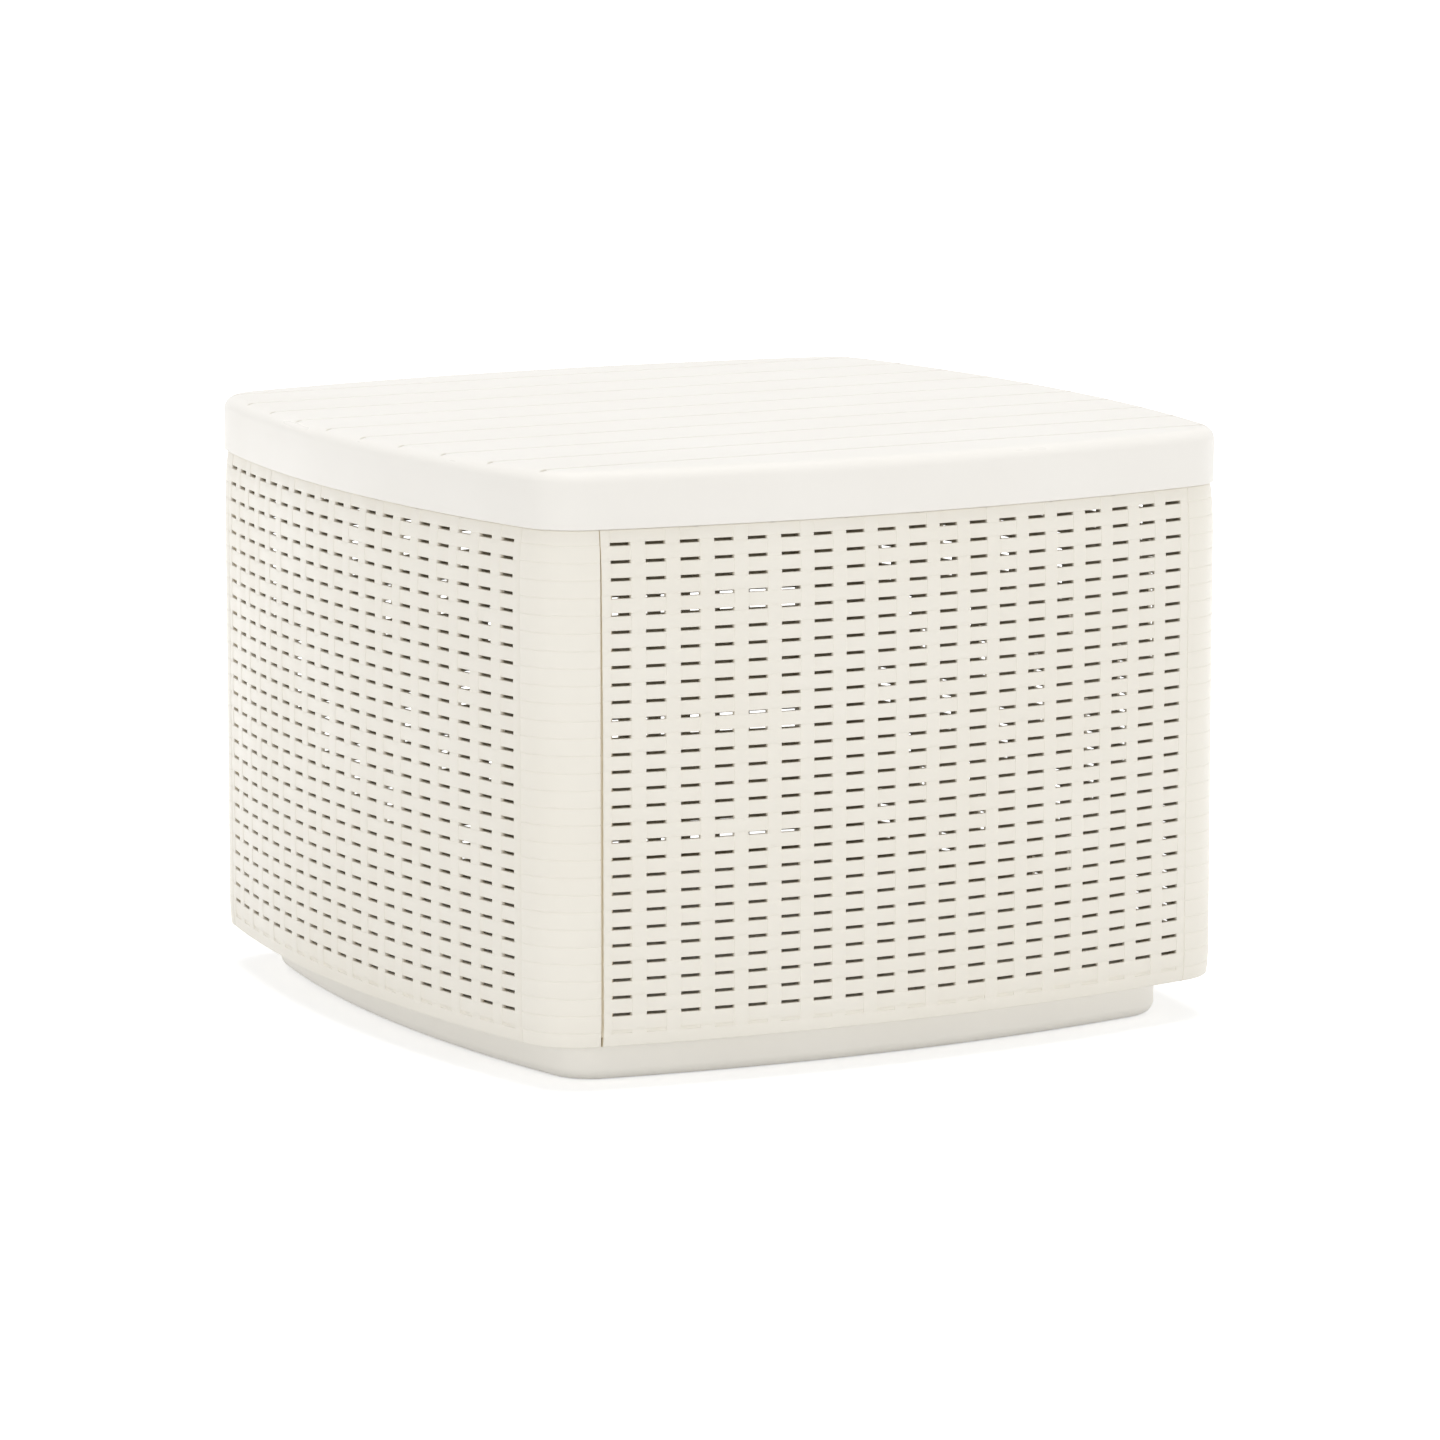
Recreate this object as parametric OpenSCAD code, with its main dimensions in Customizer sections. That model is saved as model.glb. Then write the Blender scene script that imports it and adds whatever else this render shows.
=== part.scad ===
// Square storage side table for a patio, in moulded plastic with a woven look.
// Six mouldings: a base with a recessed plinth, four equal bowed walls and a lift-off lid.
// Each wall carries the upright corner post at its right end and hooks into its left neighbour.
// The front is at -Y, +Z is up and the origin is on the ground, under the middle of the table.

/* [Table] */
// Width and depth, across the middle of two opposite sides
table_w = 540; // [460:10:640]
// Height with the lid on
table_h = 385; // [300:5:520]
// Radius of the gentle bulge of each side, seen from above
bow_r = 1073; // [900:1:1600]
// Radius of the upright corners
corner_r = 40; // [36:1:55]
// Thickness of the mouldings
wall = 3; // [2.5:0.1:4]
// Gap left between pieces that slide, lift or snap together
fit = 0.3; // [0.2:0.05:0.5]

/* [Lid] */
// Height of the lid's rim
lid_h = 36; // [30:1:60]
// Radius of the lid's top edge
lid_edge = 9; // [5:1:12]
// Height that the rounding would rise over the top, so that it meets it in a faint edge
lid_break = 0.2; // [0.1:0.05:0.5]
// Radius of the small rounding along the rim's lower edge
rim_foot_r = 1.5; // [0.5:0.1:2]
// Distance between the grooves that divide the top into planks
plank_pitch = 50; // [30:1:90]
// Depth of the plank grooves
groove_d = 1; // [0.5:0.1:1.5]
// Radius of the round tool that the grooves look cut with
groove_r = 2.2; // [1.6:0.1:4]
// Depth of the stiffening ribs under the top
lid_rib_h = 9; // [5:1:14]
// How far the locating ribs reach down inside the walls
locator_h = 8; // [5:1:12]
// Half the length of a locating rib
locator_half = 160; // [100:5:180]
// Distance between the gussets that stand on the walls
gusset_pitch = 50; // [30:1:80]

/* [Walls] */
// Height of the walls' lower edge above the ground
wall_lift = 28; // [24:1:45]
// How far the top edge of a wall leans in
roll_top = 2.3; // [0.5:0.1:3]
// Height over which the top edge leans in
roll_top_h = 32; // [20:1:50]
// How far the lower edge of a wall leans in
roll_foot = 1.2; // [0.5:0.1:3]
// Height over which the lower edge leans in
roll_foot_h = 18; // [10:1:30]
// Chamfer along the walls' upper and lower outside edge
edge_cut = 0.9; // [0.4:0.1:1.2]
// Width of the flange at the top of a wall, which the lid stands on
flange_w = 10; // [8:0.5:14]
// Width of the ledge at the foot of a wall, which stands on the floor plate
ledge_w = 16; // [14:0.5:24]

/* [Weave] */
// Width of one slot
slot_w = 12.6; // [6:0.1:16]
// Height of one slot
slot_h = 2; // [1:0.1:4]
// Distance between the columns of slots
column_pitch = 22.1; // [18:0.1:40]
// Distance between the rows of slots
row_pitch = 10.8; // [8:0.1:24]
// Height of the plain strip over the first row of slots
top_margin = 9; // [7:0.5:16]
// Least height of the strip under the last row of slots
foot_margin = 19; // [15:0.5:30]
// Least width of the plain strip at both ends of a row
side_margin = 5.5; // [3:0.5:20]
// Depth of the blind marks under the last row and of the lines round the posts
mark_d = 0.5; // [0.2:0.1:1]
// Height of the lines round the posts
mark_h = 1.2; // [0.6:0.1:2]

/* [Joints] */
// Distance from the corner's own centre to the upright seam beside the post
seam_out = 2.9; // [2:0.1:5]
// Thickness of the upright tongue at the left end of a wall
tongue_t = 2.5; // [2:0.1:3.5]
// How far round the corner the tongue reaches, in degrees
tongue_turn = 32; // [20:1:40]
// Width of the block that joins the tongue to the wall
tongue_root = 8; // [5:0.5:12]
// Number of clips at the foot of a wall
clip_count = 3; // [1:1:5]
// Width of a clip
clip_w = 18; // [10:1:30]
// Thickness of a clip
clip_t = 2.5; // [2:0.1:3.5]
// How far a clip's nose reaches under the floor plate
clip_nose = 1.2; // [0.6:0.1:2]

/* [Base] */
// How far the plinth stands back from the walls
plinth_recess = 31; // [24:1:60]
// Radius of the plinth's upright corners
plinth_corner_r = 33; // [26:1:45]
// Radius of the plinth's lower edge
plinth_edge = 8; // [5:0.5:12]
// Width of the flat foot that the plinth turns in to
foot_w = 16; // [12:1:24]
// Height of the floor plate's underside above the walls' lower edge
floor_up = 3; // [2:0.5:6]
// Depth of the ribs under the floor plate
base_rib_h = 9; // [5:1:14]
// Distance between ribs, under the floor plate and under the lid
rib_pitch = 50; // [35:1:80]
// Thickness of ribs and gussets
rib_t = 2; // [1.5:0.1:3]
// Diameter of the drain holes
drain_d = 8; // [4:1:14]
// Distance of the drain holes from the middle of the floor, along both sides
drain_at = 175; // [100:5:185]

/* [Hidden] */

side_fn = 720;
corner_fn = 120;
round_fn = 64;
over = 1;
// The side arcs run on a little past the corner arcs, which stand back by a hair, so that the
// two always meet in a clean step
lap = 0.1;
hair = 0.12;

half_w = table_w / 2;
bow_y = bow_r - half_w;
corner_k = corner_at(half_w, bow_r, corner_r);
lid_z = table_h - lid_h;
wall_top = lid_z - fit;
floor_z = wall_lift + floor_up;
floor_top = floor_z + wall;

seam_x = corner_k + seam_out;
row_top = wall_top - top_margin;
rows = floor((row_top - wall_lift - foot_margin) / row_pitch) + 1;
columns = floor((2 * (seam_x - side_margin) - slot_w) / column_pitch) + 1;
field_end = seam_x + fit;

flange_in = roll_top + flange_w;
locator_in = flange_in + 2 * fit;
grooves = floor((half_w - lid_edge) / plank_pitch + 1 / 2);
gusset_side = floor(locator_half / gusset_pitch);

tongue_out = corner_r - roll_foot - wall - fit;
tongue_in = tongue_out - tongue_t;
channel_in = tongue_in - fit - wall;
joint_z = floor_top + fit;
joint_top = wall_top - roll_top_h;
seam_turn = asin(seam_out / corner_r);
clip_in = wall + ledge_w / 2;
clip_pitch = 2 * seam_x / (clip_count + 1);
clip_end = wall_lift + fit;

plinth_half = half_w - plinth_recess;
plinth_bow = bow_r - plinth_recess;

// Where a corner arc of radius r has its centre, along both axes, so that it runs smoothly
// into two side arcs of radius bow that bulge out to half
function corner_at(half, bow, r) =
    (sqrt(2 * pow(bow - r, 2) - pow(bow - half, 2)) - (bow - half)) / 2;
// Distance from the table's middle plane to a wall's surface at x, with the surface set in
function side_at(x, inset) = sqrt(pow(bow_r - inset, 2) - x * x) - bow_y;
// How far the outside of a wall leans in at height z
function lean(z) =
    roll_top * pow(max(0, z - (wall_top - roll_top_h)) / roll_top_h, 2)
    + roll_foot * pow(max(0, wall_lift + roll_foot_h - z) / roll_foot_h, 2);
function row_z(row) = row_top - row * row_pitch;
function column_x(column) = (column - (columns - 1) / 2) * column_pitch;
function clip_x(clip) = (clip - (clip_count - 1) / 2) * clip_pitch;

// Carries a section once round a bowed square, x = 0 of the section on its outline
module round_the_square(half, bow, r) {
    k = corner_at(half, bow, r);
    turn = asin(k / (bow - r));
    for (side = [0 : 3]) rotate([0, 0, 90 * side]) {
        translate([0, bow - half, 0])
            rotate_extrude(angle = 2 * (turn + lap), start = 270 - turn - lap, $fn = side_fn)
                translate([bow, 0]) children();
        translate([k, -k, 0])
            rotate_extrude(angle = 90 - 2 * turn, start = 270 + turn, $fn = corner_fn)
                translate([r - hair, 0]) children();
    }
}

// Flat prism with the outline of a bowed square in straight strokes, three corners to a side
module inner_prism(half, bow, r, inset, z, h) {
    k = corner_at(half, bow, r);
    turn = asin(k / (bow - r));
    arm = bow - inset;
    translate([0, 0, z]) linear_extrude(h)
        polygon([for (side = [0 : 3], step = [-1 : 1])
            let (x = arm * sin(step * turn), y = bow - half - arm * cos(step * turn), a = 90 * side)
            [x * cos(a) - y * sin(a), x * sin(a) + y * cos(a)]]);
}

// What has to go from a square corner to leave a round one, drawn from the arc's centre
module corner_waste(r) {
    difference() {
        square(r + over);
        circle(r = r, $fn = round_fn);
    }
}

// Crossed ribs on the rib pitch, inside the outline
module rib_grid(half, bow, r, inset, z, h) {
    count = ceil(half / rib_pitch);
    intersection() {
        inner_prism(half, bow, r, inset, z, h);
        union() for (i = [-count : count]) {
            translate([i * rib_pitch - rib_t / 2, -half, z]) cube([rib_t, 2 * half, h]);
            translate([-half, i * rib_pitch - rib_t / 2, z]) cube([2 * half, rib_t, h]);
        }
    }
}

// Section of a wall: a thin strip that leans in at its top and foot
module wall_section() {
    steps = 3;
    low = [for (i = [0 : steps]) wall_lift + edge_cut + (roll_foot_h - edge_cut) * i / steps];
    high = [for (i = [0 : steps]) wall_top - roll_top_h + (roll_top_h - edge_cut) * i / steps];
    section(concat(low, high), 0);
}

// Section of a corner post: the same strip, with a line cut round it at every row of slots
module post_section() {
    heights = [for (row = [rows : -1 : 0], i = [-1 : 1]) row_z(row) + i * mark_h / 2];
    ends = [wall_lift + edge_cut, wall_top - edge_cut];
    section(concat([ends[0]], heights, [ends[1]]), mark_d);
}

// Strip between the outside heights given and a plain inside; every third point is cut in
module section(heights, cut) {
    count = len(heights);
    outside = [for (i = [0 : count - 1])
        [-lean(heights[i]) - (cut > 0 && i > 0 && i < count - 1 && i % 3 == 2 ? cut : 0), heights[i]]];
    foot = -lean(wall_lift);
    head = -lean(wall_top);
    polygon(concat(
        [[foot - wall, wall_lift], [foot - edge_cut, wall_lift]],
        outside,
        [[head - edge_cut, wall_top], [head - wall, wall_top]],
        [[-wall, wall_top - roll_top_h], [-wall, wall_lift + roll_foot_h]]
    ));
}

// A wall's section carried along its side, from one x to another
module along_side(from_x, to_x, inset = 0) {
    start = asin(from_x / (bow_r - inset));
    end = asin(to_x / (bow_r - inset));
    translate([0, bow_y, 0])
        rotate_extrude(angle = end - start, start = 270 + start, $fn = side_fn)
            translate([bow_r - inset, 0]) children();
}

// A section carried round a corner, x = 0 of the section on the post's outside
module round_corner(from_a, to_a) {
    rotate_extrude(angle = to_a - from_a, start = from_a, $fn = corner_fn)
        translate([corner_r, 0]) children();
}

// Level strip between two insets from the outline, at height z
module strip(inset_a, inset_b, z, h) {
    translate([-inset_b, z]) square([inset_b - inset_a, h]);
}

// The slots of one wall, as prisms along y
module slot_grid(first_row, last_row) {
    translate([0, -half_w / 2, 0]) rotate([90, 0, 0]) linear_extrude(half_w)
        for (column = [0 : columns - 1], row = [first_row : last_row])
            translate([column_x(column) - slot_w / 2, row_z(row) - slot_h / 2])
                square([slot_w, slot_h]);
}

module wall_panel() {
    difference() {
        union() {
            along_side(-seam_x + fit / 2, field_end) wall_section();
            along_side(-seam_x + fit / 2, field_end)
                strip(roll_top + wall / 2, flange_in, wall_top - wall, wall);
            along_side(-seam_x + tongue_root + fit, seam_x - tongue_root - fit)
                strip(wall / 2, wall + ledge_w, floor_top, wall);
            corner_post();
            tongue();
            clips();
        }
        slot_grid(0, rows - 1);
        intersection() {
            slot_grid(rows, rows);
            along_side(-seam_x, seam_x) strip(-over, mark_d + roll_foot, wall_lift, foot_margin);
        }
    }
}

// Upright post at the wall's right end, with the channel that takes the next wall's tongue
module corner_post() {
    first = 270 + seam_turn / 3;
    last = 360 - seam_turn - asin(fit / 2 / corner_r);
    channel_last = last - 2 * seam_turn / 3;
    channel_first = last - tongue_turn - 3 * seam_turn;
    translate([corner_k, -corner_k, 0]) {
        round_corner(first, last) post_section();
        round_corner(first, last) strip(roll_top + wall / 2, flange_in, wall_top - wall, wall);
        round_corner(channel_first, channel_last)
            strip(corner_r - channel_in - wall, corner_r - channel_in, joint_z, joint_top - joint_z);
        round_corner(channel_first, channel_first + seam_turn)
            strip(wall / 2, corner_r - channel_in, joint_z, joint_top - joint_z);
    }
}

// Upright tongue at the wall's left end, which slides up the channel of the neighbour's post
module tongue() {
    translate([-corner_k, -corner_k, 0])
        round_corner(270 - seam_turn - tongue_turn, 270 + seam_turn)
            strip(corner_r - tongue_out, corner_r - tongue_in, joint_z, joint_top - joint_z);
    root_x = -seam_x + fit / 2;
    translate([root_x, -side_at(root_x, wall / 2), joint_z])
        cube([tongue_root, side_at(root_x, wall / 2) - corner_k - tongue_in, joint_top - joint_z]);
}

// Snap clips under the ledge, each with a nose that reaches under the floor plate
module clips() {
    for (clip = [0 : clip_count - 1])
        translate([clip_x(clip) - clip_w / 2, -side_at(clip_x(clip), clip_in), 0])
            rotate([90, 0, 90]) linear_extrude(clip_w)
                polygon([
                    [-clip_t / 2, floor_top + wall / 2],
                    [-clip_t / 2, clip_end],
                    [clip_t / 2, clip_end],
                    [clip_t / 2 + clip_nose, floor_z - fit],
                    [clip_t / 2, floor_z - fit],
                    [clip_t / 2, floor_top + wall / 2]
                ]);
}

module front_wall() {
    color("#e9e5dc") wall_panel();
}

module right_wall() {
    color("#e9e5dc") rotate([0, 0, 90]) wall_panel();
}

module back_wall() {
    color("#e9e5dc") rotate([0, 0, 180]) wall_panel();
}

module left_wall() {
    color("#e9e5dc") rotate([0, 0, 270]) wall_panel();
}

// Section of the plinth: upright skirt, round lower edge and flat foot
module plinth_section() {
    difference() {
        translate([-foot_w, 0]) square([foot_w, floor_top - wall / 2]);
        translate([-plinth_edge, plinth_edge]) rotate([0, 0, -90]) corner_waste(plinth_edge);
        difference() {
            translate([-foot_w - over, wall]) square([foot_w + over - wall, floor_top]);
            translate([-plinth_edge, plinth_edge]) rotate([0, 0, -90])
                corner_waste(plinth_edge - wall);
        }
    }
}

module base() {
    inset = roll_foot + wall + fit;
    margin = corner_r - inset - over;
    color("#e4e0d6") difference() {
        union() {
            round_the_square(half_w - inset, bow_r - inset, corner_r - inset)
                translate([-margin, floor_z]) square([margin, wall]);
            inner_prism(half_w - inset, bow_r - inset, corner_r - inset, margin / 2, floor_z, wall);
            round_the_square(plinth_half, plinth_bow, plinth_corner_r) plinth_section();
            rib_grid(plinth_half, plinth_bow, plinth_corner_r, wall / 2,
                floor_z - base_rib_h, base_rib_h + wall / 2);
        }
        for (side = [0 : 3], clip = [0 : clip_count - 1])
            rotate([0, 0, 90 * side])
                translate([clip_x(clip), -side_at(clip_x(clip), clip_in), floor_z - over])
                    translate([-clip_w / 2 - fit, -clip_t / 2 - fit, 0])
                        cube([clip_w + 2 * fit, clip_t + 2 * fit, wall + 2 * over]);
        for (x = [-1, 1], y = [-1, 1])
            translate([x * drain_at, y * drain_at, floor_z - base_rib_h - over])
                cylinder(d = drain_d, h = base_rib_h + wall + 2 * over, $fn = round_fn);
    }
}

// Section of the lid's rim: round top edge, upright rim and the edge of the top plate
module rim_section() {
    margin = corner_r - 2 * hair - over;
    difference() {
        translate([-margin, lid_z]) square([margin, lid_h]);
        translate([-lid_edge, table_h - lid_edge + lid_break]) corner_waste(lid_edge);
        translate([-rim_foot_r, lid_z + rim_foot_r]) rotate([0, 0, -90]) corner_waste(rim_foot_r);
        difference() {
            translate([-margin - over, lid_z - over])
                square([margin + over - wall, lid_h + over - wall]);
            translate([-lid_edge, table_h - lid_edge]) corner_waste(lid_edge - wall);
        }
    }
}

// Gussets between the rim and the locating ribs, which stand on the walls' top flange. Their
// outer top corner follows the rounding of the lid's edge.
module gussets() {
    for (side = [0 : 3], i = [-gusset_side : gusset_side])
        rotate([0, 0, 90 * side])
            translate([i * gusset_pitch - rib_t / 2, -side_at(i * gusset_pitch, wall / 2), lid_z])
                rotate([90, 0, 90]) linear_extrude(rib_t) difference() {
                    square([
                        side_at(i * gusset_pitch, wall / 2)
                            - side_at(i * gusset_pitch, locator_in + rib_t / 2),
                        lid_h - wall / 2
                    ]);
                    translate([lid_edge - wall / 2, lid_h - lid_edge])
                        mirror([1, 0]) corner_waste(lid_edge - wall / 2);
                }
}

module lid() {
    margin = corner_r - 2 * hair - over;
    color("#f3f0ea") difference() {
        union() {
            round_the_square(half_w, bow_r, corner_r) rim_section();
            inner_prism(half_w, bow_r, corner_r, margin / 2, table_h - wall, wall);
            for (side = [0 : 3]) rotate([0, 0, 90 * side])
                along_side(-locator_half, locator_half)
                    strip(locator_in, locator_in + rib_t, lid_z - locator_h, locator_h + lid_h - wall / 2);
            gussets();
            rib_grid(half_w, bow_r, corner_r, locator_in + rib_t / 2,
                table_h - wall - lid_rib_h, lid_rib_h + wall / 2);
        }
        for (y = [1 : grooves], side = [-1, 1])
            translate([0, side * (y - 1 / 2) * plank_pitch, table_h + groove_r - groove_d])
                rotate([0, 90, 0]) cylinder(r = groove_r, h = table_w + over, center = true, $fn = round_fn);
    }
}

base();
front_wall();
right_wall();
back_wall();
left_wall();
lid();
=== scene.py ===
import math

import bpy
import numpy as np
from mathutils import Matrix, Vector
from mathutils.geometry import delaunay_2d_cdt


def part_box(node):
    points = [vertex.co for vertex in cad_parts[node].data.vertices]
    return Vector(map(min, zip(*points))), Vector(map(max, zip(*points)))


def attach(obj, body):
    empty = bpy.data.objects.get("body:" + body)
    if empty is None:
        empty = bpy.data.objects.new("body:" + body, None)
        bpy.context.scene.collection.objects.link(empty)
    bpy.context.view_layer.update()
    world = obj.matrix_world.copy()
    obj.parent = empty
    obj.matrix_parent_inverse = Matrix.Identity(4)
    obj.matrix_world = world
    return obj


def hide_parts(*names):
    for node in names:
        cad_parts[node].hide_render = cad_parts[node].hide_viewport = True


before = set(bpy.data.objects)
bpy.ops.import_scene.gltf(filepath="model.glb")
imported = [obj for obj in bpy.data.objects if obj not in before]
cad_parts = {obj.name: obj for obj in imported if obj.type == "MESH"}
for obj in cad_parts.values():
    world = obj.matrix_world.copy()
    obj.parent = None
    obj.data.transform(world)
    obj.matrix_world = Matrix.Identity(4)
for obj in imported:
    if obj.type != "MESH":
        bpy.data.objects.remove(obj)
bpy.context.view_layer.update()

# Base: one moulding in warm white plastic, a ribbed floor plate that lies inside the walls and
# a plinth that stands well back under it. The plinth turns in to a flat foot at the ground, and
# the walls' clips snap through the slots along the plate's edge.

# Every outline of the table is a bowed square: four shallow arcs and four round corners. Its
# half width and bulge are the lid's, and a smaller outline keeps the same centres.
_, lid_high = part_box("lid")
half_w = lid_high.x
bow_r = 1.073
corner_r = 0.040
bow_y = bow_r - half_w

wall = 0.003
fit = 0.0003
roll_foot = 0.0012
base_low, base_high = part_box("base")
ground = base_low.z
floor_top = base_high.z
floor_z = floor_top - wall
plate_inset = roll_foot + wall + fit

plinth_recess = 0.031
plinth_half = half_w - plinth_recess
plinth_bow = bow_r - plinth_recess
plinth_corner_r = 0.033
plinth_edge = 0.008
foot_w = 0.016

rib_pitch = 0.050
rib_t = 0.002
rib_count = 4
base_rib_h = 0.009
drain_d = 0.008
drain_at = 0.175

clip_count = 3
clip_w = 0.018
clip_t = 0.0025
clip_in = 0.011
seam_out = 0.0029


def corner_centre(half, bow, r):
    """Distance k of a corner arc's centre from both middle planes: the arc of radius r is
    tangent inside to both side arcs, so (k, k) lies bow - r from the side arc's centre."""
    return (math.sqrt(2 * (bow - r) ** 2 - (bow - half) ** 2) - (bow - half)) / 2


corner_k = corner_centre(half_w, bow_r, corner_r)
seam_x = corner_k + seam_out
clip_pitch = 2 * seam_x / (clip_count + 1)
clip_places = [(i - (clip_count - 1) / 2) * clip_pitch for i in range(clip_count)]


def side_at(x, inset):
    """Distance from the middle plane to a side's surface: the height of an arc of radius
    bow_r - inset over its centre, less the centre's own distance bow_y."""
    return np.sqrt((bow_r - inset) ** 2 - x ** 2) - bow_y


def quarter_turned(points, quarters):
    """Turns points by whole quarters about Z: each quarter takes (x, y) to (-y, x)."""
    points = points.copy()
    for _ in range(quarters % 4):
        points[:, 0], points[:, 1] = -points[:, 1], points[:, 0].copy()
    return points


def bowed_square(half, bow, r, side_steps, corner_steps):
    """Points and outward normals along the outline, counterclockwise from above. On a side
    arc of radius bow and on a corner arc of radius r alike, a normal at angle a from the
    front is (sin a, -cos a) and the point is the arc's centre plus radius times normal."""
    k = corner_centre(half, bow, r)
    turn = math.asin(k / (bow - r))
    side = np.linspace(-turn, turn, side_steps + 1)
    corner = np.linspace(turn, math.pi / 2 - turn, corner_steps + 1)[1:-1]
    angles = np.concatenate([side, corner])
    normals = np.column_stack([np.sin(angles), -np.cos(angles)])
    on_side = (np.arange(len(angles)) <= side_steps)[:, None]
    centres = np.where(on_side, [0, bow - half], [k, -k])
    points = centres + np.where(on_side, bow, r) * normals
    return (
        np.concatenate([quarter_turned(points, q) for q in range(4)]),
        np.concatenate([quarter_turned(normals, q) for q in range(4)]),
    )


def grid_faces(rows, columns, wrap_rows, wrap_columns):
    """Quads between neighbouring points of a grid whose point (row, column) has the number
    row * columns + column; a wrapped direction also joins its last line to its first."""
    row = np.arange(rows if wrap_rows else rows - 1)[:, None]
    column = np.arange(columns if wrap_columns else columns - 1)[None, :]
    next_row = (row + 1) % rows
    next_column = (column + 1) % columns
    corners = [
        row * columns + column,
        next_row * columns + column,
        next_row * columns + next_column,
        row * columns + next_column,
    ]
    return np.stack(corners, axis=-1).reshape(-1, 4)


def carried(profile, points, normals, closed):
    """A closed profile of (inset, height) pairs carried along a path: each point is the path's
    point less its normal times the inset. An open path gets a flat cap at both ends."""
    profile = np.asarray(profile)
    place = points[:, None, :] - normals[:, None, :] * profile[None, :, :1]
    height = np.broadcast_to(profile[None, :, 1:], (len(points), len(profile), 1))
    solid = np.concatenate([place, height], axis=2).reshape(-1, 3)
    faces = [grid_faces(len(points), len(profile), closed, True)]
    if not closed:
        first = np.arange(len(profile))
        faces.append(first[None, :])
        faces.append((first + len(profile) * (len(points) - 1))[None, ::-1])
    return solid, faces


def upright_box_strip(inset_a, inset_b, low, high):
    """Profile of a rectangle between two insets and two heights, outside first."""
    return [(inset_a, low), (inset_a, high), (inset_b, high), (inset_b, low)]


def box_between(low, high):
    """Closed box between two corners."""
    low, high = np.asarray(low), np.asarray(high)
    pick = np.array([[i & 1, i >> 1 & 1, i >> 2 & 1] for i in range(8)])
    faces = np.array(
        [[0, 2, 3, 1], [4, 5, 7, 6], [0, 1, 5, 4], [2, 6, 7, 3], [0, 4, 6, 2], [1, 3, 7, 5]]
    )
    return low + pick * (high - low), [faces]


def inside(loop, points):
    """Which points lie inside a convex counterclockwise loop: left of every edge."""
    edge = np.roll(loop, -1, axis=0) - loop
    offset = points[:, None, :] - loop[None, :, :]
    return (edge[:, 0] * offset[:, :, 1] - edge[:, 1] * offset[:, :, 0] > 0).all(axis=1)


def drilled_plate(outline, holes, low, high):
    """Flat plate between two heights, with holes right through: triangles over the outline
    that keep every edge, less those inside a hole, and a wall round each loop."""
    loops = [outline, *holes]
    starts = np.cumsum([0] + [len(loop) for loop in loops])
    rings = [list(range(starts[i], starts[i + 1])) for i in range(len(loops))]
    flat = [Vector(p) for p in np.concatenate(loops).tolist()]
    inside_outline = 1
    tolerance = 1e-8
    flat, _, triangles, *_ = delaunay_2d_cdt(flat, [], rings, inside_outline, tolerance)
    flat = np.array([tuple(p) for p in flat])
    triangles = np.array(triangles)
    middles = flat[triangles].mean(axis=1)
    for hole in holes:
        keep = ~inside(hole, middles)
        triangles, middles = triangles[keep], middles[keep]
    count = len(flat)
    solid = np.concatenate([
        np.column_stack([flat, np.full(count, low)]),
        np.column_stack([flat, np.full(count, high)]),
    ])
    faces = [triangles + count, triangles[:, ::-1]]
    for i, ring in enumerate(rings):
        here = np.array(ring)
        after = np.roll(here, -1)
        side = np.column_stack([here, after, after + count, here + count])
        faces.append(side if i == 0 else side[:, ::-1])
    return solid, faces


def rib_lattice(low, high, reach):
    """Crossed ribs on the rib pitch, rib_count to each side of the middle, in one closed shell
    and each as long as reach(x) allows: a grid of lines at the ribs' sides, whose cells are
    solid where a rib passes. The outer lines of the grid follow the ends of the ribs, and its
    corner points aren't used."""
    at = np.arange(-rib_count, rib_count + 1) * rib_pitch
    lines = np.sort(np.concatenate([at - rib_t / 2, at + rib_t / 2]))
    end = reach(lines)
    x = np.tile(np.r_[0, lines, 0], (len(lines) + 2, 1))
    x[1:-1, 0] = -end
    x[1:-1, -1] = end
    y = x.T
    passes = np.arange(len(lines) + 1) % 2 == 1
    solid = passes[:, None] | passes[None, :]
    return sandwich(
        np.dstack([x, y, np.full(x.shape, high)]), np.dstack([x, y, np.full(x.shape, low)]), solid
    )


def sandwich(front, back, solid):
    """Closed shell between two like grids of points, solid only in the marked cells. Columns
    run to the right and rows upwards as seen from the front. A wall closes every edge where
    a solid cell meets an empty one or the border."""
    rows, columns = front.shape[:2]
    number = np.arange(rows * columns).reshape(rows, columns)
    count = rows * columns
    quads = np.stack(
        [number[:-1, :-1], number[:-1, 1:], number[1:, 1:], number[1:, :-1]], axis=-1
    )[solid]
    faces = [quads, quads[:, ::-1] + count]
    marked = np.pad(solid, 1)
    across = marked[1:-1, :]
    along = marked[:, 1:-1]
    for has, turned in ((True, False), (False, True)):
        row, column = np.nonzero((across[:, :-1] == has) & (across[:, 1:] != has))
        here, above = number[row, column], number[row + 1, column]
        side = np.column_stack([here, here + count, above + count, above])
        faces.append(side[:, ::-1] if turned else side)
        row, column = np.nonzero((along[:-1, :] == has) & (along[1:, :] != has))
        here, right = number[row, column], number[row, column + 1]
        side = np.column_stack([here, right, right + count, here + count])
        faces.append(side[:, ::-1] if turned else side)
    return np.concatenate([front.reshape(-1, 3), back.reshape(-1, 3)]), faces


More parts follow.
